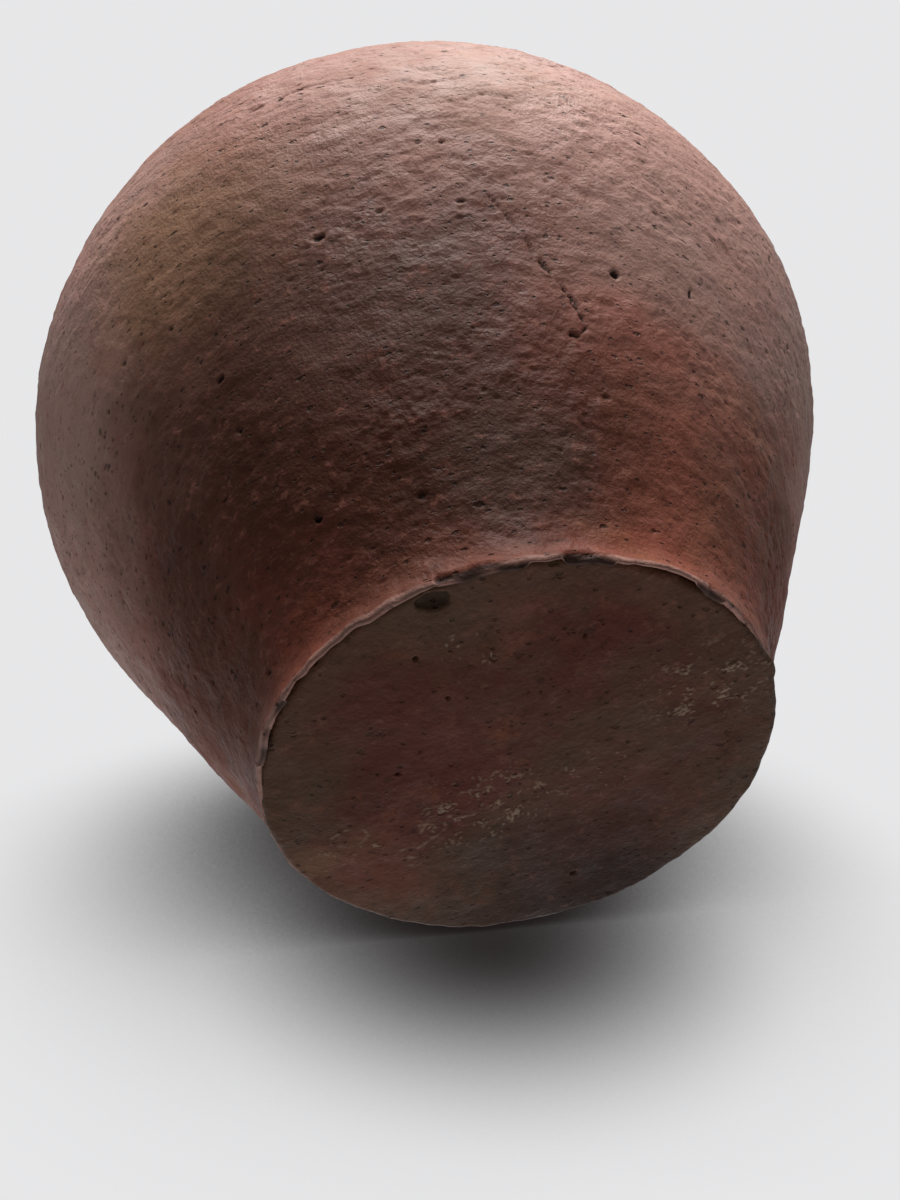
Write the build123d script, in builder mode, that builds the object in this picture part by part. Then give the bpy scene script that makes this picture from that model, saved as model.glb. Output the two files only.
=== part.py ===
"""A two-handled earthenware jar, built the way a potter builds it.

Each separately made piece of clay is its own solid: a slab for the base, a thrown lower wall, a
thrown shoulder, a neck, a rolled rim, two strap handles with their luting pads, and the coils
pressed over the joints inside. They all meet face to face.

Frame: millimetres, +Z up the jar's axis, origin at the centre of its underside, handles at +X and -X.
"""
import os

from build123d import *

# ---- driving dimensions (mm) -------------------------------------------------------------------
BELLY_RADIUS = 140.0          # outside, at the widest point
BELLY_HEIGHT = 163.0          # of the widest point, where the two halves are joined
SHOULDER_RISE = 107.0         # half-height of the ellipse that the shoulder follows
WALL = 9.0                    # thickness of the thrown wall

BASE_RADIUS = 66.5            # of the flat disc that the jar stands on
BASE_THICKNESS = 11.0
BASE_EDGE = 2.0               # rounding of its lower edge

# The lower wall's outside, as (radius, height): waisted above the base, then flaring almost
# straight, then rounding over into the belly. Its clay is drawn down over the base's edge to a lip.
LIP = (68.2, 2.0)
FOOT = (69.0, 11.0)
WAIST = (73.8, 20.0)
FLANK = (96.5, 57.0)
LOWER_BELLY = (125.5, 106.0)

NECK_BORE = 36.0              # radius of the way through the neck
NECK_RADIUS = NECK_BORE + WALL
NECK_FOOT = 252.0             # height of its lower end, just inside the jar
NECK_WAIST = 286.0            # height from which its outside is straight
NECK_SPREAD = 66.0            # radius at which its outside runs out on the shoulder
RIM_FOOT = 318.0              # height at which the rim is rolled on to the neck
RIM_RADIUS = 54.0
RIM_RISE = 20.0

HANDLE_WIDTH = 34.0
HANDLE_THICKNESS = 13.0
HANDLE_TOP = 299.0            # height at which the strap's middle line leaves the neck
HANDLE_CREST = (68.0, 303.5)  # where that line starts to bend down, as (radius, height)
HANDLE_REACH = (104.0, 271.0) # where it is furthest out
HANDLE_FOOT_RADIUS = 100.0    # where it comes down on the shoulder
BURIED = 4.0                  # how far the untrimmed strap runs on into the wall at each end
PAD_RADIUS = 21.0             # of the clay thumbed over the strap's foot
PAD_RISE = 6.0

COIL_RADIUS = 6.0             # of the clay pressed over each joint inside
COIL_CENTRES = {              # as (radius, height)
    "base_seam_coil": (FOOT[0] - WALL - 3.0, BASE_THICKNESS + 3.0),
    "belly_seam_coil": (BELLY_RADIUS - WALL - 1.0, BELLY_HEIGHT),
    "neck_seam_coil": (NECK_RADIUS + 3.0, NECK_FOOT),
}


def shoulder_height(radius):
    """Height of the shoulder's outside at a distance from the jar's axis."""
    return BELLY_HEIGHT + SHOULDER_RISE * (1 - (radius / BELLY_RADIUS) ** 2) ** 0.5


def shoulder_normal(radius):
    """Outward direction of the shoulder at that distance, in the XZ plane."""
    rise = shoulder_height(radius) - BELLY_HEIGHT
    return Vector(radius / BELLY_RADIUS ** 2, 0, rise / SHOULDER_RISE ** 2).normalized()


def radius_and_height(vector):
    """A point or direction of the XZ plane, as that plane's own two coordinates."""
    return (vector.X, vector.Z)


# ---- base slab ---------------------------------------------------------------------------------
with BuildPart() as base_slab:
    with BuildSketch():
        Circle(BASE_RADIUS)
    extrude(amount=BASE_THICKNESS)
    fillet(base_slab.edges().filter_by(GeomType.CIRCLE).sort_by(Axis.Z)[0], BASE_EDGE)

# ---- lower wall --------------------------------------------------------------------------------
outside = [FOOT, WAIST, FLANK, LOWER_BELLY, (BELLY_RADIUS, BELLY_HEIGHT)]
inside = [(radius - WALL, height) for radius, height in outside]
leaving_lip = (0.05, 1)
leaving_foot = (0.3, 1)
upright = (0, 1)

with BuildPart() as lower_wall:
    with BuildSketch(Plane.XZ):
        with BuildLine():
            outer_curve = Spline(*outside, tangents=[leaving_foot, upright])
            inner_curve = Spline(*inside, tangents=[leaving_foot, upright])
            drawn_down = Spline(LIP, outer_curve @ 0, tangents=[leaving_lip, leaving_foot])
            Polyline(
                drawn_down @ 0,
                (BASE_RADIUS, LIP[1]),
                (BASE_RADIUS, BASE_THICKNESS),
                inner_curve @ 0,
            )
            Line(outer_curve @ 1, inner_curve @ 1)
        make_face()
    revolve(axis=Axis.Z)

# ---- shoulder wall -----------------------------------------------------------------------------
with BuildPart() as shoulder_wall:
    with BuildSketch(Plane.XZ):
        with Locations((0, BELLY_HEIGHT)):
            Ellipse(BELLY_RADIUS, SHOULDER_RISE)
            Ellipse(BELLY_RADIUS - WALL, SHOULDER_RISE - WALL, mode=Mode.SUBTRACT)
        with Locations((NECK_RADIUS, BELLY_HEIGHT)):
            Rectangle(
                BELLY_RADIUS - NECK_RADIUS,
                SHOULDER_RISE,
                align=(Align.MIN, Align.MIN),
                mode=Mode.INTERSECT,
            )
    revolve(axis=Axis.Z)

# ---- neck --------------------------------------------------------------------------------------
with BuildPart() as neck_collar:
    with BuildSketch(Plane.XZ):
        with BuildLine():
            hollow = Spline(
                (NECK_SPREAD, shoulder_height(NECK_SPREAD)),
                (NECK_RADIUS, NECK_WAIST),
                tangents=[(-1, 0.5), upright],
            )
            Polyline(
                hollow @ 1,
                (NECK_RADIUS, RIM_FOOT),
                (NECK_BORE, RIM_FOOT),
                (NECK_BORE, NECK_FOOT),
                (NECK_RADIUS, NECK_FOOT),
                (NECK_RADIUS, shoulder_height(NECK_SPREAD)),
                hollow @ 0,
            )
        make_face()
    revolve(axis=Axis.Z)
    add(shoulder_wall.part, mode=Mode.SUBTRACT)

# ---- rim ---------------------------------------------------------------------------------------
with BuildPart() as rim:
    with BuildSketch(Plane.XZ) as rim_section:
        with Locations((NECK_BORE, RIM_FOOT)):
            Rectangle(RIM_RADIUS - NECK_BORE, RIM_RISE, align=(Align.MIN, Align.MIN))
        fillet(rim_section.vertices().group_by(Axis.X)[-1], 0.45 * RIM_RISE)
        fillet(rim_section.vertices().group_by(Axis.X)[0].sort_by(Axis.Y)[-1], 0.25 * RIM_RISE)
    revolve(axis=Axis.Z)

# ---- coils pressed over the joints inside ------------------------------------------------------
coils = {}
for name, (radius, height) in COIL_CENTRES.items():
    with BuildPart() as coil:
        with BuildSketch(Plane.XZ):
            with Locations((radius, height)):
                Circle(COIL_RADIUS)
        revolve(axis=Axis.Z)
        for wall in (base_slab, lower_wall, shoulder_wall, neck_collar):
            add(wall.part, mode=Mode.SUBTRACT)
    coils[name] = coil

# ---- handles -----------------------------------------------------------------------------------
foot_normal = shoulder_normal(HANDLE_FOOT_RADIUS)
foot_point = Vector(HANDLE_FOOT_RADIUS, 0, shoulder_height(HANDLE_FOOT_RADIUS))
strap_end = foot_point - foot_normal * BURIED

with BuildPart() as handle_right:
    with BuildLine(Plane.XZ):
        arm = Line((NECK_RADIUS - BURIED, HANDLE_TOP), HANDLE_CREST)
        bend = TangentArc(HANDLE_CREST, HANDLE_REACH, tangent=radius_and_height(arm % 1))
        TangentArc(HANDLE_REACH, radius_and_height(strap_end), tangent=radius_and_height(bend % 1))
    with BuildSketch(Plane(origin=arm @ 0, x_dir=(0, 1, 0), z_dir=arm % 0)):
        Ellipse(HANDLE_WIDTH / 2, HANDLE_THICKNESS / 2)
    sweep()
    add(neck_collar.part, mode=Mode.SUBTRACT)
    add(shoulder_wall.part, mode=Mode.SUBTRACT)

# The pad round the strap's foot is a low cap, cut from a ball whose centre lies inside the jar.
cap_radius = (PAD_RADIUS ** 2 + PAD_RISE ** 2) / (2 * PAD_RISE)

with BuildPart() as handle_right_pad:
    with Locations(foot_point - foot_normal * (cap_radius - PAD_RISE)):
        Sphere(cap_radius)
    split(bisect_by=Plane(origin=foot_point - foot_normal * PAD_RISE, z_dir=foot_normal))
    for neighbour in (shoulder_wall, neck_collar, handle_right):
        add(neighbour.part, mode=Mode.SUBTRACT)

with BuildPart() as handle_left:
    mirror(handle_right.part, about=Plane.YZ)

with BuildPart() as handle_left_pad:
    mirror(handle_right_pad.part, about=Plane.YZ)

# ---- write one file for each piece -------------------------------------------------------------
pieces = {
    "base_slab": base_slab,
    "lower_wall": lower_wall,
    "shoulder_wall": shoulder_wall,
    "neck_collar": neck_collar,
    "rim": rim,
    "handle_right": handle_right,
    "handle_left": handle_left,
    "handle_right_pad": handle_right_pad,
    "handle_left_pad": handle_left_pad,
    **coils,
}

os.makedirs("parts", exist_ok=True)
for name, piece in pieces.items():
    piece.part.label = name
    export_step(piece.part, f"parts/{name}.step")
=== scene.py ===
import math
from itertools import product

import bpy
import numpy as np
from mathutils import Matrix, Vector


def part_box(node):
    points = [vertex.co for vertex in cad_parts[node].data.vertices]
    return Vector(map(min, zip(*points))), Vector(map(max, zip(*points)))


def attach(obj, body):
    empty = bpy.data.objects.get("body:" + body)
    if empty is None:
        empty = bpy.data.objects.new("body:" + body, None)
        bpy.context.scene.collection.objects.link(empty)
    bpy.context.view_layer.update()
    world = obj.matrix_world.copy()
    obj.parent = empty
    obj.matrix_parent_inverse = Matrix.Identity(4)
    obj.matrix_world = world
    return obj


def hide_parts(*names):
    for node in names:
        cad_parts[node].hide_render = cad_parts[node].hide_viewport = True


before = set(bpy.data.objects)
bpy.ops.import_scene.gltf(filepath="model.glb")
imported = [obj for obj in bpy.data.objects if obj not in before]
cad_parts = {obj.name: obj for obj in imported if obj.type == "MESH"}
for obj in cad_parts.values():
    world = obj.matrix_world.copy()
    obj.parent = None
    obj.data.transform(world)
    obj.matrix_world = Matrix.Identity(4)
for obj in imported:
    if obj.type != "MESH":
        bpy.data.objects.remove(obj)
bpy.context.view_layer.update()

MM = 0.001


# ---- sizes, all read from the frame ------------------------------------------------------------
def cad_points(node):
    """The vertices of a CAD node, as an array."""
    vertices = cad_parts[node].data.vertices
    points = np.empty(len(vertices) * 3, np.float32)
    vertices.foreach_get("co", points)
    return points.reshape(-1, 3).astype(float)


def radii(points):
    """Distances from the jar's axis."""
    return np.hypot(points[..., 0], points[..., 1])


BELLY_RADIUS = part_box("lower_wall")[1].x
BELLY_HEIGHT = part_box("lower_wall")[1].z
WALL = BELLY_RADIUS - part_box("belly_seam_coil")[1].x
BASE_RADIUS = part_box("base_slab")[1].x
BASE_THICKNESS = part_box("base_slab")[1].z
LIP_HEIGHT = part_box("lower_wall")[0].z
SHOULDER_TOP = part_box("shoulder_wall")[1].z
NECK_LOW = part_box("neck_collar")[0].z
NECK_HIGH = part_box("neck_collar")[1].z
NECK_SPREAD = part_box("neck_collar")[1].x
NECK_BORE = radii(cad_points("neck_collar")).min()
NECK_RADIUS = NECK_BORE + WALL
RIM_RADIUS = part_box("rim")[1].x
RIM_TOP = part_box("rim")[1].z
SHOULDER_RISE = (SHOULDER_TOP - BELLY_HEIGHT) / math.sqrt(1 - (NECK_RADIUS / BELLY_RADIUS) ** 2)


def lower_outline():
    """Radius of the lower wall's outside as a smooth function of height, fitted to the CAD mesh."""
    points = cad_points("lower_wall")
    radius, height = radii(points), points[:, 2]
    band_height, degree = 6 * MM, 9
    bands = np.round(height / band_height).astype(int)
    edge = [np.flatnonzero(bands == band)[radius[bands == band].argmax()] for band in np.unique(bands)]
    outside = radius > np.interp(height, height[edge], radius[edge]) - 0.4 * WALL
    return np.polynomial.Polynomial.fit(height[outside], radius[outside], degree)


lower_radius = lower_outline()


def shoulder_height(radius):
    """Height of the shoulder's outside at a distance from the axis."""
    return BELLY_HEIGHT + SHOULDER_RISE * math.sqrt(1 - (radius / BELLY_RADIUS) ** 2)


# ---- noise -------------------------------------------------------------------------------------
LATTICE = 256
NOISE_GAIN = 1.6              # brings the noise up to about -1 to 1
random = np.random.default_rng(7)
SHUFFLE = random.permutation(LATTICE).astype(np.int32)
DIRECTIONS = random.normal(size=(LATTICE, 3)).astype(np.float32)
DIRECTIONS /= np.linalg.norm(DIRECTIONS, axis=1, keepdims=True)
CHANCE = random.random((LATTICE, 5)).astype(np.float32)


def cell_number(cell):
    """A lattice cell's shuffled number, the same for the same cell each time."""
    number = np.zeros(cell.shape[:-1], np.int32)
    for axis in range(3):
        number = SHUFFLE[(number + cell[..., axis]) & (LATTICE - 1)]
    return number


def noise(points):
    """Smooth gradient noise, roughly -1 to 1, with features about one unit across."""
    points = points.astype(np.float32)
    cell = np.floor(points).astype(np.int32)
    local = points - cell
    fade = local ** 3 * (local * (local * 6 - 15) + 10)
    total = np.zeros(points.shape[:-1], np.float32)
    for corner in product((0, 1), repeat=3):
        corner = np.array(corner, np.int32)
        slope = DIRECTIONS[cell_number(cell + corner)]
        weight = np.prod(np.where(corner == 1, fade, 1 - fade), axis=-1)
        total += weight * ((local - corner) * slope).sum(-1)
    return total * NOISE_GAIN


def bumps(points, height, size, offset=0.0, squeeze=1.0):
    """Noise with bumps of that height and size in mm, which a squeeze below 1 draws out round the jar.

    The offset gives each use its own part of the noise.
    """
    return height * noise(points * (squeeze, squeeze, 1) / (size * MM) + offset)


def pits(points, spacing, share, largest):
    """How deep each point lies in a scatter of round pits, 0 to 1.

    A share of the cells, which are spacing mm wide, has a pit, of a radius up to largest mm.
    """
    scaled = (points / (spacing * MM)).astype(np.float32)
    cell = np.floor(scaled).astype(np.int32)
    deepest = np.zeros(points.shape[:-1], np.float32)
    for corner in product((-1, 0, 1), repeat=3):
        near = cell + np.array(corner, np.int32)
        chance = CHANCE[cell_number(near)]
        centre = near + 0.2 + 0.6 * chance[..., :3]
        size = largest / spacing * (0.35 + 0.65 * chance[..., 3] ** 2)
        distance = np.linalg.norm(scaled - centre, axis=-1)
        bowl = np.clip(1 - (distance / size) ** 2, 0, 1) * (chance[..., 4] < share)
        deepest = np.maximum(deepest, bowl * (0.4 + 0.6 * chance[..., 3]))
    return deepest


def smoothstep(low, high, value):
    """0 at low and before it, 1 at high and beyond it, and a smooth change between them."""
    share = np.clip((value - low) / (high - low), 0, 1)
    return share * share * (3 - 2 * share)


# ---- marks with a place of their own -----------------------------------------------------------
# (azimuth, height, length round the jar, width, depth), in degrees and mm
DEEP_PITS = [
    (-21, 28, 2.6, 1.7, 1.3),
    (33, 73, 2.6, 2.4, 1.3),
    (-25, 70, 2.8, 1.6, 1.0),
    (-26, 56, 2.2, 1.5, 1.0),
    (-5, 88, 2.8, 1.8, 1.0),
    (46, 78, 1.4, 3.2, 0.9),
    (63, 118, 1.4, 4.2, 1.0),
    (70, 96, 2.0, 1.4, 0.8),
    (12, 106, 2.0, 1.2, 0.7),
    (-43, 92, 2.2, 1.4, 0.8),
    (150, 82, 3.6, 2.4, 1.3),
    (-128, 118, 3.2, 2.6, 1.3),
]
# hairline cracks, as points (azimuth, height), with their width and depth in mm
CRACKS = [
    ([(16.5, 90), (18.5, 84), (20.5, 79), (21.3, 75)], 0.45, 0.45),
    ([(22, 73), (24.5, 68), (26.3, 62.5), (27.8, 57), (26.8, 54.5), (25.4, 54.8)], 0.55, 0.7),
    ([(-9, 137), (-3, 138.5), (4, 136.5)], 0.45, 0.4),
    ([(118, 96), (121, 108), (127, 117), (128, 128)], 0.5, 0.6),
]
# gaps between the base and the wall, the same way
LIP_GAPS = [
    ([(-5, 3.4), (0, 2.6), (5, 2.8), (11, 1.8)], 1.0, 1.3),
    ([(19, 2.2), (22.5, 2.8), (27, 2.2)], 1.3, 1.5),
    ([(46, 1.8), (50, 2.4), (54, 1.7)], 0.9, 1.2),
    ([(-62, 2.0), (-50, 1.5), (-44, 1.9)], 0.5, 1.0),
    ([(165, 2.4), (180, 3.0), (192, 2.2)], 0.5, 0.8),
]
FAR = 1e3                     # mm, a distance beyond any mark


def from_mark(azimuth, height, radius, around, up):
    """Distances in mm from a mark at azimuth around and height up, round the jar and up the wall."""
    turn = (azimuth - around + 180) % 360 - 180
    return np.radians(turn) * radius / MM, height / MM - up


def from_segment(x, y, run, rise):
    """Distance of (x, y) from the straight line between (0, 0) and (run, rise)."""
    share = np.clip((x * run + y * rise) / (run * run + rise * rise), 0, 1)
    return np.hypot(x - share * run, y - share * rise)


def deep_pits(azimuth, height, radius, wander):
    """Depth in mm of the marked pits, below zero where clay is pushed up round one."""
    edge_height = 0.3         # mm
    edge_place, edge_width = 1.3, 0.3    # in pit radii
    depth = np.zeros_like(radius)
    for around, up, length, width, deep in DEEP_PITS:
        across, rise = from_mark(azimuth, height, radius, around, up)
        distance = np.hypot(across / (length / 2), rise / (width / 2)) * (1 + wander)
        depth = np.maximum(depth, deep * np.clip(1 - distance ** 2, 0, 1))
        edge = edge_height * np.exp(-((distance - edge_place) / edge_width) ** 2)
        depth = depth - np.where(depth > 0, 0, edge)
    return depth


def grooves(azimuth, height, radius, paths, wander):
    """Depth in mm of thin cracks that follow the paths."""
    depth = np.zeros_like(radius)
    for path, width, deep in paths:
        nearest = np.full_like(radius, FAR)
        for (around, up), (next_around, next_up) in zip(path, path[1:]):
            across, rise = from_mark(azimuth, height, radius, around, up)
            run = np.radians(next_around - around) * radius / MM
            nearest = np.minimum(nearest, from_segment(across, rise, run, next_up - up))
        nearest = np.abs(nearest + wander)
        depth = np.maximum(depth, deep * np.clip(1 - nearest / width, 0, 1) ** 0.7)
    return depth


# ---- the surface of the clay -------------------------------------------------------------------
LIP_MIDDLE = -4               # azimuth about which the lip is drawn down furthest


def azimuth_of(points):
    """Degrees from -Y towards +X."""
    return np.degrees(np.arctan2(points[..., 0], -points[..., 1]))


def clay_relief(points, marked=False):
    """(rise of the worn surface over the CAD face in metres, how pitted it is from 0 to 1)."""
    lumps = bumps(points, 0.55, 150) + bumps(points, 0.55, 62, 4.1)
    ridges = bumps(points, 0.32, 13, squeeze=0.13) + bumps(points, 0.08, 4, squeeze=0.1)
    hand = bumps(points, 0.24, 12, squeeze=0.75) + bumps(points, 0.22, 6, 2.7, squeeze=0.75)
    hand = hand + np.abs(bumps(points, 0.34, 4.5, 9.4, squeeze=0.6))
    crumbs = bumps(points, 0.20, 3.3, squeeze=0.75) + bumps(points, 0.15, 1.7, 8.3)
    rough = 0.35 + 0.85 * smoothstep(-0.5, 0.5, bumps(points, 1, 30, 6.6))
    rough = rough * (0.45 + 0.55 * smoothstep(5 * MM, 20 * MM, points[..., 2]))

    torn = points * (0.5, 0.5, 1)
    scatter = 0.85 * pits(points * (0.75, 0.75, 1), 15, 0.5, 1.3)
    scatter = np.maximum(scatter, 0.60 * pits(torn + 3.1, 6, 0.6, 0.9))
    scatter = np.maximum(scatter, 0.45 * pits(torn + 5.9, 3, 0.7, 0.75))
    scatter = scatter * (0.3 + 0.7 * rough)
    if marked:
        radius, height, azimuth = radii(points), points[..., 2], azimuth_of(points)
        wander = bumps(points, 0.6, 2.6) + bumps(points, 0.3, 1.2)
        pitted = deep_pits(azimuth, height, radius, wander)
        scatter = np.where(pitted < 0, scatter + pitted, np.maximum(scatter, pitted))
        scatter = np.maximum(scatter, grooves(azimuth, height, radius, CRACKS, wander))
    return (lumps + ridges + hand + rough * crumbs - scatter) * MM, np.clip(scatter / 0.7, 0, 1)


def lip_relief(points, normals, relief):
    """The clay at the foot of the wall, drawn down over the base's edge to a thin ragged lip."""
    azimuth = azimuth_of(points)
    ring = points * (1, 1, 0)
    drawn = smoothstep(75, 45, np.abs(azimuth - LIP_MIDDLE))
    ragged = bumps(ring, 1, 9) + bumps(ring, 0.6, 3.2, 5.5)
    low = 1 - smoothstep(LIP_HEIGHT, LIP_HEIGHT + 7 * MM, points[..., 2])
    drop = (0.25 + 1.35 * drawn) * (1 + 0.55 * ragged)
    flare = 0.7 * drawn * (1 + bumps(ring, 0.9, 5, 1.9)) - 1.3 * (1 - drawn)
    gaps = grooves(azimuth, points[..., 2], radii(points), LIP_GAPS, 0.3 * ragged)
    points = points + normals * relief[..., None]
    outward = points * (1, 1, 0) / radii(points)[..., None]
    points = points + outward * (flare * low ** 2 - gaps)[..., None] * MM
    points[..., 2] -= drop * low ** 1.5 * MM
    points[..., 2] = np.maximum(points[..., 2], 0.05 * MM)
    return points, np.clip(gaps, 0, 1)


# ---- meshes ------------------------------------------------------------------------------------
FRONT = 95.0                  # degrees either side of -Y that have the finer columns


def columns_about(front_step, back_step):
    """Azimuths of a mesh's columns: front_step degrees apart at the front, and back_step behind."""
    front = np.arange(-FRONT, FRONT, front_step)
    behind = np.arange(FRONT, 360 - FRONT, back_step)
    return np.radians(np.concatenate([front, behind]))


BODY_COLUMNS = columns_about(0.3, 0.5)
NECK_COLUMNS = columns_about(0.75, 0.75)


def turned(section, angles):
    """Points and outward normals of a section (radius, height) turned round the axis."""
    along = np.gradient(section, axis=0)
    along /= np.linalg.norm(along, axis=1, keepdims=True)
    shape = (len(section), len(angles))
    x, y = np.sin(angles), -np.cos(angles)
    radius, height = section[:, :1], np.broadcast_to(section[:, 1:], shape)
    out, up = along[:, 1:], np.broadcast_to(-along[:, :1], shape)
    return np.stack([radius * x, radius * y, height], -1), np.stack([out * x, out * y, up], -1)


def spaced(outline, step):
    """An outline of (radius, height) points, taken again at even steps along it."""
    outline = np.asarray(outline, float)
    lengths = np.concatenate([[0], np.cumsum(np.linalg.norm(np.diff(outline, axis=0), axis=1))])
    places = np.linspace(0, lengths[-1], max(2, round(lengths[-1] / step) + 1))
    return np.stack([np.interp(places, lengths, outline[:, axis]) for axis in (0, 1)], 1)


def arc(centre, radius, start, end, count=12):
    """Points of an arc, with its angles in degrees."""
    angles = np.radians(np.linspace(start, end, count))
    return np.stack([centre[0] + radius * np.cos(angles), centre[1] + radius * np.sin(angles)], 1)


def grid_mesh(name, points, attributes=None, capped=False, sharp_rows=()):
    """A mesh of the grid points[row, column], whose columns go round.

    Its rows go round too, unless it is capped at its first and last row.
    """
    rows, columns = points.shape[:2]
    row = np.arange(rows - 1 if capped else rows)[:, None]
    column = np.arange(columns)[None, :]
    after_row, after_column = (row + 1) % rows, (column + 1) % columns
    corners = [row * columns + column, row * columns + after_column,
               after_row * columns + after_column, after_row * columns + column]
    faces = np.stack(corners, -1).reshape(-1, 4).tolist()
    vertices = points.reshape(-1, 3)
    if capped:
        ring, after = np.arange(columns), (np.arange(columns) + 1) % columns
        last = (rows - 1) * columns
        vertices = np.concatenate([vertices, points[:1].mean(1), points[-1:].mean(1)])
        faces += [(rows * columns, int(b), int(a)) for a, b in zip(ring, after)]
        faces += [(last + int(a), last + int(b), rows * columns + 1) for a, b in zip(ring, after)]
    mesh = bpy.data.meshes.new(name)
    mesh.from_pydata(vertices.tolist(), [], faces)
    mesh.polygons.foreach_set("use_smooth", np.ones(len(faces), bool))
    if len(sharp_rows):
        ends = np.empty(len(mesh.edges) * 2, np.int32)
        mesh.edges.foreach_get("vertices", ends)
        end_rows = ends.reshape(-1, 2) // columns
        sharp = (end_rows[:, 0] == end_rows[:, 1]) & np.isin(end_rows[:, 0], sharp_rows)
        mesh.attributes.new("sharp_edge", "BOOLEAN", "EDGE").data.foreach_set("value", sharp)
    for key, values in (attributes or {}).items():
        padded = np.zeros(len(vertices), np.float32)
        padded[:values.size] = values.ravel()
        mesh.attributes.new(key, "FLOAT", "POINT").data.foreach_set("value", padded)
    mesh.validate()
    return mesh


def add_piece(name, mesh, material, node):
    """Puts a piece in the scene, in place of its CAD node."""
    piece = bpy.data.objects.new(name, mesh)
    bpy.context.scene.collection.objects.link(piece)
    mesh.materials.append(material)
    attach(piece, "root")
    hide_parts(node)


def turned_mesh(name, outside, inside, columns, marked=False, lip=False, sharp=False):
    """A ring of clay turned on the wheel: its outside is worn, and its inside is left in ribs."""
    outer, outer_normals = turned(outside, columns)
    inner, inner_normals = turned(inside, columns)
    relief, recess_shade = clay_relief(outer, marked)
    if lip:
        outer, gaps = lip_relief(outer, outer_normals, relief)
        recess_shade = np.maximum(recess_shade, gaps)
    else:
        outer = outer + outer_normals * relief[..., None]
    ribs = bumps(inner, 0.45, 9, squeeze=0.15) + bumps(inner, 0.35, 24) + bumps(inner, 0.12, 4)
    inner = inner + inner_normals * (ribs * MM)[..., None]
    points = np.concatenate([outer, inner])
    recess_shade = np.concatenate([recess_shade, np.zeros(inner.shape[:2])])
    corners = (0, len(outer) - 1, len(outer), len(points) - 1) if sharp else ()
    return grid_mesh(name, points, {"recess_shade": recess_shade}, sharp_rows=corners)


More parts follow.
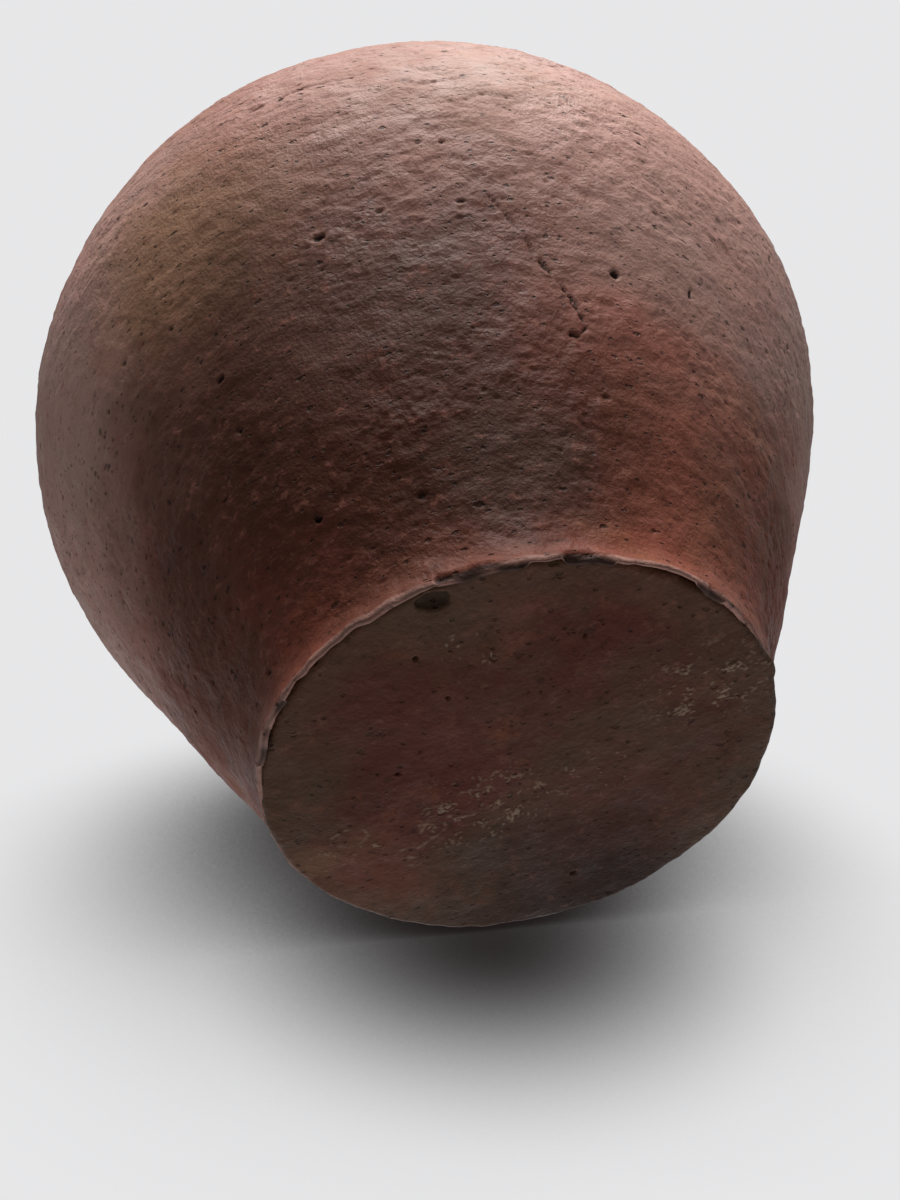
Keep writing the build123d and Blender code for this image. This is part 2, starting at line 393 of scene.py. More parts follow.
# ---- materials ---------------------------------------------------------------------------------
class Nodes:
    """Short calls for building the nodes of one material or world."""

    def __init__(self, owner, coordinates="Object"):
        self.owner = owner
        self.owner.use_nodes = True
        self.tree = self.owner.node_tree
        self.tree.nodes.clear()
        self.place = self.tree.nodes.new("ShaderNodeTexCoord").outputs[coordinates]

    def set(self, socket, value):
        """Links an output to the socket, or sets a number or a colour on it."""
        if isinstance(value, bpy.types.NodeSocket):
            self.tree.links.new(value, socket)
        elif socket.type == "RGBA":
            socket.default_value = (*value, 1)
        else:
            socket.default_value = value

    def new(self, kind, **inputs):
        """A node, with values or links for its inputs, whose names have _ for each space."""
        node = self.tree.nodes.new(kind)
        for key, value in inputs.items():
            self.set(node.inputs[key.replace("_", " ")], value)
        return node

    def vector(self, operation, other):
        """The place, changed by a vector operation."""
        node = self.tree.nodes.new("ShaderNodeVectorMath")
        node.operation = operation
        self.set(node.inputs[0], self.place)
        self.set(node.inputs[1], other)
        return node.outputs["Vector" if operation == "MULTIPLY" else "Value"]

    def math(self, operation, first, second=0.0):
        """A sum, product or other operation on two numbers."""
        node = self.tree.nodes.new("ShaderNodeMath")
        node.operation = operation
        self.set(node.inputs[0], first)
        self.set(node.inputs[1], second)
        return node.outputs[0]

    def noise(self, size, stretch=(1, 1, 1), detail=3.0, roughness=0.55, seed=0.0):
        """Noise with features of that size in metres, 0 to 1."""
        node = self.tree.nodes.new("ShaderNodeTexNoise")
        node.noise_dimensions = "4D"
        self.set(node.inputs["Vector"], self.vector("MULTIPLY", stretch))
        for key, number in (("Scale", 1 / size), ("Detail", detail), ("Roughness", roughness), ("W", seed)):
            self.set(node.inputs[key], number)
        return node.outputs[0]

    def ramp(self, value, low, high, to_low=0.0, to_high=1.0):
        """value taken from low..high to to_low..to_high, with a smooth step."""
        node = self.new("ShaderNodeMapRange", Value=value, From_Min=low, From_Max=high,
                        To_Min=to_low, To_Max=to_high)
        node.interpolation_type = "SMOOTHSTEP"
        return node.outputs["Result"]

    def mix(self, factor, first, second):
        """The colour first turning into the colour second as factor goes from 0 to 1."""
        node = self.tree.nodes.new("ShaderNodeMix")
        node.data_type = "RGBA"
        factor_in, first_in, second_in = node.inputs[0], node.inputs[6], node.inputs[7]
        self.set(factor_in, factor)
        self.set(first_in, first)
        self.set(second_in, second)
        return node.outputs[2]

    def cover(self, colour, over, amount, strength):
        """The colour over laid on colour where amount is 1, at that strength."""
        return self.mix(self.math("MULTIPLY", amount, strength), colour, over)

    def grit(self, spacing, share, size):
        """1 inside small scattered holes, 0 elsewhere: a share of the cells has one."""
        spread = self.vector("MULTIPLY", (0.55, 0.55, 1))
        cells = self.new("ShaderNodeTexVoronoi", Vector=spread, Scale=1 / spacing)
        chance = self.new("ShaderNodeSeparateColor", Color=cells.outputs["Color"]).outputs[0]
        ragged = self.math("MULTIPLY", self.noise(spacing * 0.35, detail=2.0), 0.5)
        distance = self.math("ADD", cells.outputs["Distance"], ragged)
        hole = self.ramp(distance, size + 0.25, size * 0.5 + 0.2)
        return self.math("MULTIPLY", hole, self.ramp(chance, share, share - 0.05))

    def attribute(self, name):
        """A value kept on the mesh's vertices."""
        node = self.tree.nodes.new("ShaderNodeAttribute")
        node.attribute_name = name
        return node.outputs["Fac"]

    def near(self, centre, reach):
        """1 at a place, falling to 0 at reach from it, with a ragged edge."""
        wobble = self.noise(reach * 0.45, detail=5.0, roughness=0.65, seed=centre[0] * 90)
        wobble = self.math("MULTIPLY", self.math("SUBTRACT", wobble, 0.5), reach)
        return self.ramp(self.math("ADD", self.vector("DISTANCE", centre), wobble), reach, reach * 0.3)

    def height(self):
        """Height of the place above the base."""
        return self.new("ShaderNodeSeparateXYZ", Vector=self.place).outputs["Z"]

    def from_axis(self):
        """Distance of the place from the jar's axis."""
        flat = self.tree.nodes.new("ShaderNodeVectorMath")
        flat.operation = "LENGTH"
        self.set(flat.inputs[0], self.vector("MULTIPLY", (1, 1, 0)))
        return flat.outputs["Value"]

    def join(self, factor, first, second):
        """The shader first turning into the shader second."""
        node = self.tree.nodes.new("ShaderNodeMixShader")
        self.set(node.inputs[0], factor)
        self.tree.links.new(first.outputs[0], node.inputs[1])
        self.tree.links.new(second.outputs[0], node.inputs[2])
        return node

    def output(self, shader, kind="ShaderNodeOutputMaterial"):
        """Makes the shader what the material or world shows."""
        self.tree.links.new(shader.outputs[0], self.tree.nodes.new(kind).inputs["Surface"])


def at(azimuth, height):
    """A point on the lower wall's outside, from an azimuth in degrees and a height in mm."""
    height *= MM
    radius = lower_radius(height)
    turn = math.radians(azimuth)
    return (radius * math.sin(turn), -radius * math.cos(turn), height)


# colours of the fired clay, as linear red, green and blue. The dust, umber and soot colours also serve as
# painted sheen, highlight and shade.
RED = (0.168, 0.043, 0.026)
BROWN = (0.104, 0.034, 0.021)
PINK = (0.190, 0.075, 0.052)
BUFF = (0.240, 0.125, 0.066)
GREY = (0.062, 0.034, 0.026)
DUST_AND_PAINTED_LIGHT = (0.520, 0.345, 0.295)
UMBER_AND_SHADE = (0.036, 0.013, 0.008)
MAROON = (0.072, 0.018, 0.012)
OLIVE = (0.066, 0.035, 0.021)
SOOT_AND_SHADE = (0.010, 0.006, 0.004)
CHALK = (0.300, 0.220, 0.150)
RUST = (0.165, 0.055, 0.022)

# How noise is changed along X, Y and Z: below 1 draws its features out, and above 1 presses them.
AROUND = (0.8, 0.8, 1.15)
FLAT = (1, 1, 1.3)
CLOUD = (0.7, 0.7, 1.2)
STREAK = (0.4, 0.4, 1.6)
SCRAPE = (0.25, 0.25, 5.0)

# Blotches all over: (colour, strength, size, stretch, detail, roughness, seed, low, high). The
# colour shows where that noise is above low, and is at its strength where it is above high.
BLOTCHES = [
    (PINK, 0.35, 0.024, AROUND, 6.0, 0.70, 3.0, 0.48, 0.66),
    (GREY, 0.30, 0.030, STREAK, 6.0, 0.70, 5.0, 0.54, 0.70),
    (RUST, 0.50, 0.013, AROUND, 5.0, 0.70, 7.0, 0.53, 0.68),
    (UMBER_AND_SHADE, 0.35, 0.085, FLAT, 6.0, 0.60, 11.0, 0.50, 0.68),
    (BUFF, 0.40, 0.070, FLAT, 6.0, 0.65, 14.0, 0.54, 0.72),
]
SHINE = 0.06                  # how strongly the dry clay reflects
GRAIN_DEPTH = 0.0003          # of the finest relief, which is only in the shading


def olive_edge(clay, colour):
    """The base's face, greener towards its edge."""
    wobble = clay.math("MULTIPLY", clay.noise(0.012, detail=5.0, seed=2.0), 0.016)
    edge = clay.math("ADD", clay.from_axis(), wobble)
    return clay.cover(colour, OLIVE, clay.ramp(edge, 0.060, 0.070), 0.70)


def wall_dust_and_painted_light(clay, colour):
    """The wall, scraped pinker at its foot, with pale dust and painted sheen about the belly, and dust with
    a painted highlight along the lip.
    """
    ring = clay.ramp(clay.height(), 0.012, 0.004)
    scraped = clay.ramp(clay.noise(0.010, SCRAPE, 4.0, 0.6, 4.0), 0.35, 0.60, 0.2, 1.0)
    colour = clay.cover(colour, PINK, clay.math("MULTIPLY", ring, scraped), 0.25)
    # Pale dust and painted sheen over the belly: it rises from 62 mm to full at 145 mm and fades to a
    # quarter above 165 mm, so the wall grows lighter upwards.
    wobble = clay.math("MULTIPLY", clay.noise(0.032, CLOUD, 6.0, 0.65, 6.0), 0.070)
    cloudy = clay.math("ADD", clay.height(), wobble)
    rising, fading = clay.ramp(cloudy, 0.062, 0.145), clay.ramp(cloudy, 0.260, 0.165, 0.25, 1.0)
    colour = clay.cover(colour, DUST_AND_PAINTED_LIGHT, clay.math("MULTIPLY", rising, fading), 0.48)
    # A paler edge along the lip, partly dust and partly a painted highlight.
    return clay.cover(colour, DUST_AND_PAINTED_LIGHT, clay.ramp(clay.height(), 0.0024, 0.0012), 0.35)


def fired_clay(name, patches=(), first=RED, second=BROWN, base=False):
    """Fired red-brown clay, with painted shade in its holes and recesses; patches are (colour, strength,
    place, reach), and some of them paint shade or light.
    """
    clay = Nodes(bpy.data.materials.new(name))
    speck, hole, hollow = (0.25, 0.35, 0.60) if base else (0.55, 0.65, 0.85)    # strengths
    colour = clay.mix(clay.ramp(clay.noise(0.050, AROUND, 5.0, 0.6), 0.40, 0.60), first, second)
    for over, strength, size, stretch, detail, roughness, seed, low, high in BLOTCHES:
        blotch = clay.ramp(clay.noise(size, stretch, detail, roughness, seed), low, high)
        colour = clay.cover(colour, over, blotch, strength)
    colour = olive_edge(clay, colour) if base else wall_dust_and_painted_light(clay, colour)
    for over, strength, place, reach in patches:
        colour = clay.cover(colour, over, clay.near(place, reach), strength)
    fine = clay.noise(0.0026, AROUND, 4.0, 0.65, 9.0)
    colour = clay.cover(colour, PINK, clay.ramp(fine, 0.54, 0.70), speck)
    colour = clay.cover(colour, SOOT_AND_SHADE, clay.ramp(fine, 0.43, 0.30), 0.50)
    # Painted shade: the small holes, which are only in the bump, are darkened as if shaded inside.
    holes = clay.math("MAXIMUM", clay.grit(0.0034, 0.30, 0.22), clay.grit(0.0016, 0.40, 0.26))
    colour = clay.cover(colour, SOOT_AND_SHADE, holes, hole)
    if base:
        colour = clay.cover(colour, CHALK, clay.attribute("chalk"), 0.55)
    # Painted shade in the mesh's pits, cracks, chips and lip gaps, darker the deeper they are.
    colour = clay.cover(colour, SOOT_AND_SHADE, clay.ramp(clay.attribute("recess_shade"), 0.20, 0.9), hollow)

    grain = clay.math("ADD", clay.noise(0.0010, detail=2.0), clay.math("MULTIPLY", fine, 1.2))
    grain = clay.math("SUBTRACT", grain, clay.math("MULTIPLY", holes, 1.2))
    bump = clay.new("ShaderNodeBump", Height=grain, Strength=1.0, Distance=GRAIN_DEPTH)
    roughness = clay.ramp(clay.noise(0.012, detail=4.0), 0.3, 0.7, 0.44, 0.66)
    shader = clay.new("ShaderNodeBsdfPrincipled", Base_Color=colour, Roughness=roughness,
                      Normal=bump.outputs[0], Specular_IOR_Level=SHINE)
    clay.output(shader)
    return clay.owner


# ---- the base ----------------------------------------------------------------------------------
# crust on its face, as lines through points (x, y) in mm
DEPOSITS = [
    [(-53, 4), (-50, 6.5), (-46, 6.5), (-43, 4), (-44, 1), (-48, 0), (-52, 1), (-53, 4)],
    [(-39, 21), (-36, 22), (-34, 20), (-36, 18), (-39, 19), (-39, 21)],
    [(-40, 16), (-36, 14), (-33, 15.5), (-29, 13), (-26, 12.5), (-23, 9.5)],
    [(-31, 10), (-28, 6.5), (-25, 5.5), (-22, 6.5)],
    [(-24, 2), (-17, -1), (-9, 0)],
    [(-20, 8), (-13, 9), (-6, 7)],
]
# specks of crust round a point: (x, y, reach, share that they cover), in mm
CRUSTS = [
    (-12, 8, 27, 0.52),
    (50, -14, 24, 0.50),
    (16, 6, 16, 0.36),
    (-50, 10, 15, 0.40),
    (-6, -46, 14, 0.30),
]
# chips: (x, y, length, width, depth), in mm
BASE_HOLLOWS = [
    (-8, -62, 8.0, 5.0, 1.6),
    (-16, -48, 1.7, 1.4, 1.0),
    (-12, -34, 1.5, 1.3, 0.9),
    (22, -40, 1.4, 1.2, 0.8),
    (5, 47, 2.0, 1.6, 1.0),
    (-30, -14, 1.4, 1.2, 0.8),
]
BURR_AZIMUTH = 79             # of the small burr on the base's edge
BASE_EDGE = 2 * MM            # rounding of its lower edge
EDGE_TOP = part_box("base_slab")[0].z + BASE_EDGE    # height at which that rounding ends
CAP_RADIUS = 0.4 * MM         # of the caps that close the mesh at the axis


def base_section():
    """Half of the base slab's section, from the axis along its underside, up its side and back."""
    rounding = arc((BASE_RADIUS - BASE_EDGE, EDGE_TOP), BASE_EDGE, -80, 0, 7)
    return np.concatenate([
        spaced([(CAP_RADIUS, 0), (BASE_RADIUS - BASE_EDGE, 0)], 0.5 * MM),
        rounding,
        [(BASE_RADIUS, EDGE_TOP + BASE_EDGE), (BASE_RADIUS, BASE_THICKNESS - MM)],
        spaced([(BASE_RADIUS - 0.5 * MM, BASE_THICKNESS), (CAP_RADIUS, BASE_THICKNESS)], 4 * MM),
    ])


def base_chips(x, y, flat):
    """Depth in mm of the pits and chips in the base's face."""
    wander = 1 + bumps(flat, 0.35, 2.6)
    hollows = 0.6 * pits(flat, 9, 0.4, 0.9)
    for centre_x, centre_y, length, width, depth in BASE_HOLLOWS:
        distance = np.hypot((x - centre_x) / (length / 2), (y - centre_y) / (width / 2)) * wander
        hollows = np.maximum(hollows, depth * np.clip(1 - distance ** 3, 0, 1))
    return hollows


def base_crust(x, y, flat):
    """How much pale crust lies on the base's face, 0 to 1."""
    crust = np.zeros_like(x)
    broken = smoothstep(-0.35, 0.35, bumps(flat, 1, 2.2, 9.1))
    for path in DEPOSITS:
        nearest = np.full_like(x, FAR)
        for (start_x, start_y), (end_x, end_y) in zip(path, path[1:]):
            line = from_segment(x - start_x, y - start_y, end_x - start_x, end_y - start_y)
            nearest = np.minimum(nearest, line)
        nearest = nearest + bumps(flat, 0.35, 1.6) + bumps(flat, 0.35, 6)
        crust = np.maximum(crust, 0.6 * broken * np.clip(1.3 - nearest / 0.45, 0, 1))
    for centre_x, centre_y, reach, share in CRUSTS:
        close = smoothstep(reach, reach * 0.3, np.hypot(x - centre_x, (y - centre_y) * 1.3))
        specks = bumps(flat, 0.6, 0.9, centre_x) + bumps(flat, 0.4, 1.9) + bumps(flat, 0.6, 5)
        crust = np.maximum(crust, close * smoothstep(0.75 - share, 1.05 - share, specks))
    return crust


def base_mesh(name):
    """The base slab: its face is recessed behind the lip, uneven, chipped and crusted."""
    points, _ = turned(base_section(), BODY_COLUMNS)
    outward = points / radii(points)[..., None] * BASE_RADIUS * (1, 1, 0)
    uneven = bumps(outward, 0.45, 22) + bumps(outward, 0.35, 7) + bumps(outward, 0.2, 3)
    burr = 1.3 * np.exp(-((azimuth_of(points) - BURR_AZIMUTH) / 4) ** 2)
    outer = smoothstep(50 * MM, 64 * MM, radii(points))
    points = points + outward / BASE_RADIUS * (outer * (uneven + burr - 0.2) * MM)[..., None]

    x, y, flat = points[..., 0] / MM, points[..., 1] / MM, points * (1, 1, 0)
    low = 1 - smoothstep(EDGE_TOP, 3 * EDGE_TOP, points[..., 2])
    lumps = bumps(flat, 0.45, 34) + bumps(flat, 0.25, 12, 3.3)
    crumbs = bumps(flat, 0.12, 4.5) + bumps(flat, 0.09, 1.9, 7.7)
    behind_lip = smoothstep(80, 45, np.abs(azimuth_of(points) - LIP_MIDDLE))
    recess = 1.3 * behind_lip * smoothstep(20, 62, radii(points) / MM)
    hollows = base_chips(x, y, flat)
    crust = base_crust(x, y, flat) * low
    points[..., 2] += low * (0.55 + lumps + crumbs + recess + hollows - 0.25 * crust) * MM
    points[..., 2] = np.maximum(points[..., 2], 0)
    recess_shade = low * np.clip(hollows / 0.8, 0, 1)
    return grid_mesh(name, points, {"recess_shade": recess_shade, "chalk": crust}, capped=True)


# ---- handles -----------------------------------------------------------------------------------
# the strap's middle line, as (radius, height)
STRAP_START = Vector((41, 299)) * MM
STRAP_CREST = Vector((68, 303.5)) * MM
STRAP_REACH = Vector((104, 271)) * MM
STRAP_FOOT = Vector((97.9, 234.5)) * MM
STRAP_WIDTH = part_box("handle_right")[1].y * 2
STRAP_THICKNESS = 13 * MM
FINGER_PLACE = 7.0            # mm from the middle line to each groove along the strap's back
FINGER_WIDTH = 3.4
FINGER_DEPTH = 1.1 * MM

PAD_FOOT = 100 * MM           # distance of the pad's middle from the jar's axis
PAD_REACH = 22.5              # mm from its middle to its edge
PAD_RISE = 5.6                # mm that its middle stands over the shoulder
PAD_SUNK = 4.5                # mm that its underside lies in the shoulder
PAD_RINGS = 44                # rows of its upper side


def tangent_arc(start, direction, end, count):
    """Points of the arc that leaves start in that direction and ends at end, and its last heading."""
    chord = end - start
    turn = direction.angle_signed(chord)
    points = []
    for number in range(1, count + 1):
        share = number / count
        size = chord.length * (math.sin(turn * share) / math.sin(turn))
        heading = direction.copy()
        heading.rotate(Matrix.Rotation(-turn * share, 2))
        points.append(start + heading.normalized() * size)
    last = direction.copy()
    last.rotate(Matrix.Rotation(-2 * turn, 2))
    return points, last


def strap_line():
    """The strap's middle line, evenly spaced."""
    arm = (STRAP_CREST - STRAP_START).normalized()
    bend, heading = tangent_arc(STRAP_CREST, arm, STRAP_REACH, 30)
    drop, _ = tangent_arc(STRAP_REACH, heading, STRAP_FOOT, 30)
    return spaced([STRAP_START, STRAP_CREST, *bend, *drop], 0.7 * MM)


def fuller(wave):
    """A sine or cosine made a little squarer, for a section that is fuller than an ellipse."""
    return np.sign(wave) * np.abs(wave) ** 0.85


def strap_mesh(name, side):
    """A strap handle on the +X side (1) or the -X side (-1), grooved along its back by two fingers."""
    line = strap_line()
    along = np.gradient(line, axis=0)
    along /= np.linalg.norm(along, axis=1, keepdims=True)
    share = np.linspace(0, 1, len(line))[:, None]
    angle = np.linspace(0, 2 * math.pi, 150, endpoint=False)[None, :]
    luted = smoothstep(0.16, 0.03, share) + 0.6 * smoothstep(0.86, 0.99, share)
    across = STRAP_WIDTH / 2 * fuller(np.cos(angle)) * (1 + 0.10 * luted)
    thick = STRAP_THICKNESS / 2 * fuller(np.sin(angle)) * (1 + 0.22 * luted)
    back = np.clip(np.sin(angle), 0, 1) ** 0.5
    groove = np.exp(-((np.abs(across) / MM - FINGER_PLACE) / FINGER_WIDTH) ** 2)
    thick = thick - FINGER_DEPTH * groove * back * (1 - 0.8 * luted)
    points = np.stack([
        line[:, :1] - thick * along[:, 1:],
        across,
        line[:, 1:] + thick * along[:, :1],
    ], -1)
    if side < 0:
        points = points[:, ::-1] * (-1, 1, 1)
    normals = np.cross(np.gradient(points, axis=1), np.gradient(points, axis=0))
    normals /= np.linalg.norm(normals, axis=-1, keepdims=True) + 1e-12
    lumps = bumps(points, 0.55, 21) + bumps(points, 0.25, 8)
    crumbs = bumps(points, 0.11, 3) + bumps(points, 0.08, 1.6)
    holes = 0.6 * pits(points, 8, 0.45, 0.9)
    points = points + normals * ((lumps + crumbs - holes) * MM)[..., None]
    return grid_mesh(name, points, {"recess_shade": np.clip(holes / 0.6, 0, 1)}, capped=True)


def pad_mesh(name, side):
    """Clay thumbed over the strap's foot, feathered out over the shoulder."""
    foot_swing = math.acos(PAD_FOOT / BELLY_RADIUS)
    per_swing = math.hypot(BELLY_RADIUS * math.sin(foot_swing), SHOULDER_RISE * math.cos(foot_swing))
    angle = np.linspace(0, 2 * math.pi, 200, endpoint=False)[None, :]
    ring = np.concatenate([np.linspace(0.015, 1, PAD_RINGS), np.linspace(1, 0.02, 8)])[:, None]
    upper = (np.arange(len(ring)) < PAD_RINGS)[:, None]
    uneven = noise(np.stack([np.cos(angle), np.sin(angle), side + 0 * angle], -1) * 1.6)
    reach = (PAD_REACH + 1.6 * uneven) * MM
    up_wall, round_wall = ring * reach * np.cos(angle), ring * reach * np.sin(angle)
    swing = foot_swing + up_wall / per_swing
    turn = round_wall / (BELLY_RADIUS * np.cos(swing))
    radius = BELLY_RADIUS * np.cos(swing)
    out, up = np.cos(swing) / BELLY_RADIUS, np.sin(swing) / SHOULDER_RISE
    length = np.hypot(out, up)
    out, up = out / length, up / length
    normals = np.stack([out * np.cos(turn), out * np.sin(turn), up], -1)
    height = BELLY_HEIGHT + SHOULDER_RISE * np.sin(swing)
    points = np.stack([radius * np.cos(turn), radius * np.sin(turn), height], -1)
    if side < 0:
        points, normals = points[:, ::-1] * (-1, 1, 1), normals[:, ::-1] * (-1, 1, 1)
    dents = 1.1 * np.exp(-((ring - 0.78) / 0.13) ** 2) * np.clip(np.cos(5 * angle + side), 0, 1)
    rise = PAD_RISE * (1 - smoothstep(0.25, 1.0, ring)) - 0.9 * ring ** 3 - dents
    rise = rise + bumps(points, 0.35, 9) + bumps(points, 0.12, 3) + clay_relief(points)[0] / MM
    rise = np.where(upper, rise, -PAD_SUNK)
    points = points + normals * (rise * MM)[..., None]
    return grid_mesh(name, points, capped=True)


def coil_mesh(name, centre, radius):
    """A coil of clay pressed over a joint with the fingertips."""
    points, normals = turned(arc(centre, radius, 0, 360, 41)[:-1], NECK_COLUMNS)
    dents = bumps(points, 0.8, 13) + bumps(points, 0.25, 5) + bumps(points, 0.1, 2)
    return grid_mesh(name, points + normals * (dents * MM)[..., None])


# ---- the pieces --------------------------------------------------------------------------------
wall_clay = fired_clay("wall_clay", [
    (BUFF, 0.75, at(-22, 104), 0.050),
    (BUFF, 0.30, at(14, 140), 0.050),
    (RED, 0.30, at(22, 46), 0.045),
    (MAROON, 0.45, at(-36, 60), 0.055),
    # Painted light: a lighter patch on the front of the belly.
    (PINK, 0.65, at(8, 88), 0.055),
    (PINK, 0.40, at(50, 34), 0.045),
    # Painted shade: the lower front of the wall darkened in umber.
    (UMBER_AND_SHADE, 0.75, at(-12, 52), 0.085),
    (UMBER_AND_SHADE, 0.45, at(12, 36), 0.050),
    (GREY, 0.60, at(14, 24), 0.024),
    (GREY, 0.45, at(-60, 30), 0.040),
    (GREY, 0.15, at(24, 84), 0.034),
    (PINK, 0.50, at(-3, 152), 0.070),
])
base_clay = fired_clay("base_clay", [
    (MAROON, 0.60, (-0.020, -0.030, 0), 0.034),
    (MAROON, 0.60, (0.020, 0.020, 0), 0.036),
    (RUST, 0.30, (-0.050, 0.022, 0), 0.026),
    (BUFF, 0.20, (-0.060, 0.009, 0), 0.009),
    # Painted shade: the base's face darker towards its +Y edge, which is nearest the lying floor.
    (UMBER_AND_SHADE, 0.60, (0.006, 0.050, 0), 0.050),
    (SOOT_AND_SHADE, 0.55, (0.012, 0.074, 0), 0.050),
], MAROON, OLIVE, base=True)
luting_clay = fired_clay("luting_clay")

INSIDE_STEP = 2.5 * MM        # between the rows of the big walls' insides

# The lower wall ends at the bottom in a thin lip round the base.
LIP_OVERLAP = 0.1 * MM        # that the lip's inner face overlaps the base slab
LIP_EDGE = 0.35 * MM          # width of the bevel on each side of its lower edge
heights = np.linspace(LIP_HEIGHT + 1.2 * MM, BELLY_HEIGHT, 400)
lower_outside = np.stack([lower_radius(heights), heights], 1)
lip_outer, lip_inner = lower_outside[0][0], BASE_RADIUS - LIP_OVERLAP
lip = [
    (lip_inner, LIP_HEIGHT + 4 * MM),
    (lip_inner, LIP_HEIGHT + 0.9 * MM),
    (lip_inner + LIP_EDGE, LIP_HEIGHT),
    (lip_outer - LIP_EDGE, LIP_HEIGHT),
]
heights = np.linspace(BASE_THICKNESS, BELLY_HEIGHT, 200)
lower_inside = np.stack([lower_radius(heights) - WALL, heights], 1)[::-1]
lower_inside = np.concatenate([lower_inside, [(lip_inner, BASE_THICKNESS)]])
add_piece("lower_wall_clay", turned_mesh(
    "lower_wall_clay",
    np.concatenate([spaced(lip, 0.35 * MM), spaced(lower_outside, 0.5 * MM)]),
    spaced(lower_inside, INSIDE_STEP),
    BODY_COLUMNS, marked=True, lip=True, sharp=True,
), wall_clay, "lower_wall")
add_piece("base_slab_clay", base_mesh("base_slab_clay"), base_clay, "base_slab")


def ellipse(inset, swings):
    """Points of the shoulder's outside, or of its inside at that inset, at angles round its ellipse."""
    radius, rise = BELLY_RADIUS - inset, SHOULDER_RISE - inset
    return np.stack([radius * np.cos(swings), BELLY_HEIGHT + rise * np.sin(swings)], 1)


shoulder_outside = ellipse(0, np.linspace(0, math.acos(NECK_RADIUS / BELLY_RADIUS), 300))
shoulder_inside = ellipse(WALL, np.linspace(math.acos(NECK_RADIUS / (BELLY_RADIUS - WALL)), 0, 200))
add_piece("shoulder_wall_clay", turned_mesh(
    "shoulder_wall_clay",
    spaced(shoulder_outside, 0.65 * MM),
    spaced(shoulder_inside, INSIDE_STEP),
    BODY_COLUMNS, marked=True, sharp=True,
), wall_clay, "shoulder_wall")

# The neck spreads on to the shoulder in a hollow curve, and sinks a little into it. Its outside is
# a curve with a given direction at each end, which runs further the longer that direction is.
spread = NECK_SPREAD + 3 * MM
on_shoulder = np.array((spread, shoulder_height(spread) - 1.4 * MM))
neck_waist = np.array((NECK_RADIUS, 286 * MM))
leaving, arriving = np.array((-0.032, 0.014)), np.array((0, 0.034))
share = np.linspace(0, 1, 40)[:, None]
hollow = ((1 + 2 * share) * (1 - share) ** 2 * on_shoulder + share * (1 - share) ** 2 * leaving
          + share * share * (3 - 2 * share) * neck_waist - share * share * (1 - share) * arriving)
neck_outside = np.concatenate([hollow, [(NECK_RADIUS, NECK_HIGH)]])
neck_inside = [
    (NECK_BORE, NECK_HIGH),
    (NECK_BORE, NECK_LOW),
    (NECK_RADIUS, NECK_LOW),
    (NECK_RADIUS, shoulder_height(NECK_RADIUS) - 2 * MM),
    (spread - 2 * MM, shoulder_height(spread) - 3 * MM),
]
add_piece("neck_clay", turned_mesh(
    "neck_clay",
    spaced(neck_outside, 0.6 * MM),
    spaced(neck_inside, 1.5 * MM),
    NECK_COLUMNS,
), wall_clay, "neck_collar")

OUTER_ROLL = 9 * MM           # rounding of the rim's outside
INNER_ROLL = 5 * MM           # and of its inner upper edge
rim_outside = np.concatenate([
    arc((RIM_RADIUS - OUTER_ROLL, NECK_HIGH + OUTER_ROLL), OUTER_ROLL, -90, 0),
    arc((RIM_RADIUS - OUTER_ROLL, RIM_TOP - OUTER_ROLL), OUTER_ROLL, 0, 90),
    arc((NECK_BORE + INNER_ROLL, RIM_TOP - INNER_ROLL), INNER_ROLL, 90, 180),
])
rim_inside = [(NECK_BORE, RIM_TOP - INNER_ROLL - MM), (NECK_BORE, NECK_HIGH), (NECK_RADIUS, NECK_HIGH)]
add_piece("rim_clay", turned_mesh(
    "rim_clay",
    spaced(rim_outside, 0.6 * MM),
    spaced(rim_inside, 1.5 * MM),
    NECK_COLUMNS,
), wall_clay, "rim")

for side, handle in ((1, "handle_right"), (-1, "handle_left")):
    add_piece(f"{handle}_clay", strap_mesh(f"{handle}_clay", side), wall_clay, handle)
    pad = f"{handle}_pad"
    add_piece(f"{pad}_clay", pad_mesh(f"{pad}_clay", side), luting_clay, pad)

COIL_RADIUS = 6 * MM
coil_reach, coil_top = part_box("base_seam_coil")[1].x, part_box("base_seam_coil")[1].z
for node, centre in (
    ("base_seam_coil", (coil_reach - 5.3 * MM, coil_top - COIL_RADIUS)),
    ("belly_seam_coil", (BELLY_RADIUS - WALL - MM, BELLY_HEIGHT)),
    ("neck_seam_coil", (NECK_RADIUS + 3 * MM, NECK_LOW)),
):
    coil = coil_mesh(f"{node}_clay", centre, COIL_RADIUS)
    add_piece(f"{node}_clay", coil, luting_clay, node)

# ---- camera ------------------------------------------------------------------------------------
# It looks up at the underside from close by, and is rolled, as if the jar lay on its side.
CAMERA_PLACE = Vector((0, -0.1859, -0.1505))
CAMERA_AIM = Vector((-0.0070, 0, 0.0769))
CAMERA_ROLL = math.radians(-15.1)
LENS = 27.75
FLOOR_PITCH = math.radians(7.2)    # how far the floor under the lying jar tips up towards the back

camera = bpy.data.objects.new("camera", bpy.data.cameras.new("camera"))
bpy.context.scene.collection.objects.link(camera)
camera.data.lens = LENS
camera.data.sensor_width = 36
camera.data.clip_start = 0.01
turn = (CAMERA_AIM - CAMERA_PLACE).to_track_quat("-Z", "Y").to_matrix().to_4x4()
camera.matrix_world = Matrix.Translation(CAMERA_PLACE) @ turn @ Matrix.Rotation(CAMERA_ROLL, 4, "Z")
bpy.context.scene.camera = camera

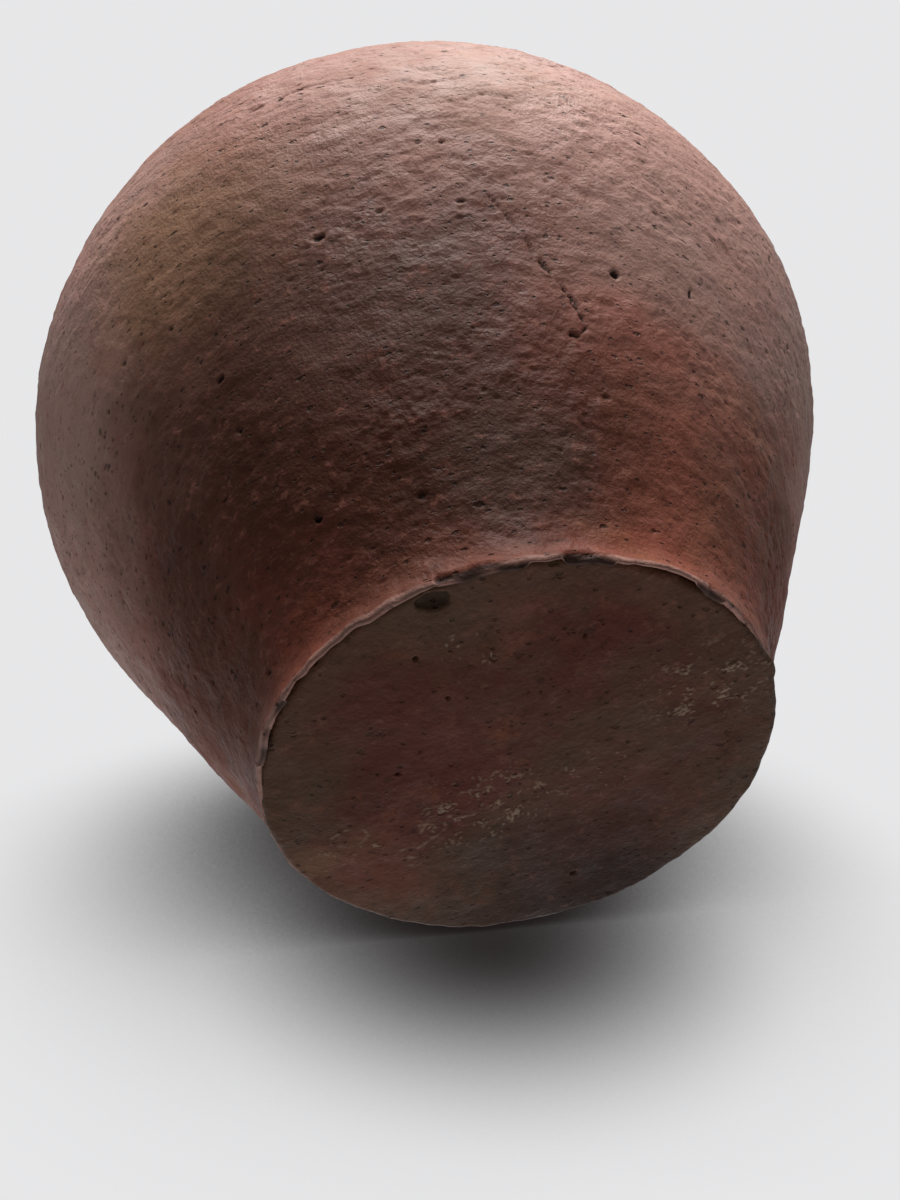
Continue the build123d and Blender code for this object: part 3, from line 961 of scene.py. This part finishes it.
camera_axes = camera.matrix_world.to_3x3()
camera_up = camera_axes @ Vector((0, 1, 0))
toward_viewer = camera_axes @ Vector((0, 0, 1))
away = -toward_viewer
FLOOR_UP = (camera_up * math.cos(FLOOR_PITCH) + toward_viewer * math.sin(FLOOR_PITCH)).normalized()

# ---- stage -------------------------------------------------------------------------------------
PALE = (0.80, 0.80, 0.81)
SHADE = (0.012, 0.008, 0.008)
FLOOR_SIZE = 12.0             # half its width
UPRIGHT = Vector((0, 0, 1))


def floor_material(name, up, lean=Vector((0, 0, 0)), under=None):
    """Pale paper that glows as bright as the backdrop, with the jar's shadow painted on, seen from its
    upper side only.

    The shadow has a wide part and a tight one. Both reach further on the side opposite to lean, and
    the shadow is darkest round the place under, if there is one.
    """
    paper = Nodes(bpy.data.materials.new(name))
    wide_normal, tight_normal = (up + lean * 0.5).normalized(), (up + lean * 0.3).normalized()
    wide = paper.new("ShaderNodeAmbientOcclusion", Distance=0.6, Normal=tuple(wide_normal))
    tight = paper.new("ShaderNodeAmbientOcclusion", Distance=0.1, Normal=tuple(tight_normal))
    wide.samples = tight.samples = 16
    wide_light = paper.ramp(wide.outputs["AO"], 0.0, 0.75)
    tight_light = paper.ramp(tight.outputs["AO"], -0.2, 1.0)
    light = paper.math("MULTIPLY", wide_light, tight_light)
    geometry = paper.tree.nodes.new("ShaderNodeNewGeometry")
    if under:
        paper.place = geometry.outputs["Position"]
        # A painted shadow spot, darker still round the place under.
        spot = paper.ramp(paper.vector("DISTANCE", tuple(under)), 0.0, 0.085, 0.12, 1.0)
        light = paper.math("MULTIPLY", light, spot)
    # The paper glows with its painted shadow; no lamp lights it.
    glow = paper.new("ShaderNodeEmission", Color=paper.mix(light, SHADE, PALE))
    clear = paper.new("ShaderNodeBsdfTransparent")
    paper.output(paper.join(geometry.outputs["Backfacing"], glow, clear))
    return paper.owner


def add_floor(name, foot, up, material):
    """A wide flat floor through foot, which the light passes by."""
    mesh = bpy.data.meshes.new(name)
    corners = [(-1, -1), (1, -1), (1, 1), (-1, 1)]
    mesh.from_pydata([(x * FLOOR_SIZE, y * FLOOR_SIZE, 0) for x, y in corners], [], [(0, 1, 2, 3)])
    mesh.materials.append(material)
    plane = bpy.data.objects.new(name, mesh)
    plane.location = foot
    plane.rotation_mode = "QUATERNION"
    plane.rotation_quaternion = up.to_track_quat("Z", "Y")
    plane.visible_shadow = plane.visible_diffuse = plane.visible_glossy = False
    bpy.context.scene.collection.objects.link(plane)


# One floor is under the lying jar, and the other is under the standing one.
lowest = min((cad_points(node) @ np.array(FLOOR_UP)).min() for node in ("lower_wall", "base_slab"))
resting = Vector((-FLOOR_UP.x, -FLOOR_UP.y, 0)).normalized() * BASE_RADIUS
along_floor = (toward_viewer - FLOOR_UP * toward_viewer.dot(FLOOR_UP)).normalized()
lying_paper = floor_material("lying_paper", FLOOR_UP, away, resting + along_floor * 12 * MM)
add_floor("lying_floor", FLOOR_UP * (lowest - MM), FLOOR_UP, lying_paper)
add_floor("standing_floor", UPRIGHT * -0.4 * MM, UPRIGHT, floor_material("standing_paper", UPRIGHT))


# ---- light -------------------------------------------------------------------------------------
KEY_AIM = Vector((0, 0, 0.12))     # on the jar's axis, below the belly
KEY_DISTANCE = 0.80
KEY_BEHIND = 0.06             # how far behind that point it hangs
KEY_SIZE = 0.55
KEY_POWER = 16


def softbox(name, place, aim, size, power):
    """A square soft light that faces aim."""
    data = bpy.data.lights.new(name, "AREA")
    data.size = size
    data.energy = power
    light = bpy.data.objects.new(name, data)
    light.location = place
    light.rotation_mode = "QUATERNION"
    light.rotation_quaternion = (aim - place).to_track_quat("-Z", "Y")
    bpy.context.scene.collection.objects.link(light)


key_place = KEY_AIM + FLOOR_UP * KEY_DISTANCE + away * KEY_BEHIND
softbox("key", key_place, KEY_AIM, KEY_SIZE, KEY_POWER)

# The room is brighter behind the jar, where the backdrop is, and below it than in front of it. The
# camera itself sees it evenly pale.
room = Nodes(bpy.data.worlds.new("studio"), "Generated")
bpy.context.scene.world = room.owner
behind = room.vector("DOT_PRODUCT", tuple((away + FLOOR_UP * 0.35).normalized()))
below = room.vector("DOT_PRODUCT", tuple(-FLOOR_UP))
from_behind, from_below = room.ramp(behind, -0.15, 0.9, 0.08, 0.50), room.ramp(below, -0.1, 0.9, 0.0, 0.95)
strength = room.math("ADD", from_behind, from_below)
lit = room.new("ShaderNodeBackground", Color=(0.97, 0.98, 1.0), Strength=strength)
seen = room.new("ShaderNodeBackground", Color=PALE)
ray = room.tree.nodes.new("ShaderNodeLightPath")
room.output(room.join(ray.outputs["Is Camera Ray"], lit, seen), "ShaderNodeOutputWorld")

bpy.context.scene.view_settings.view_transform = "Standard"
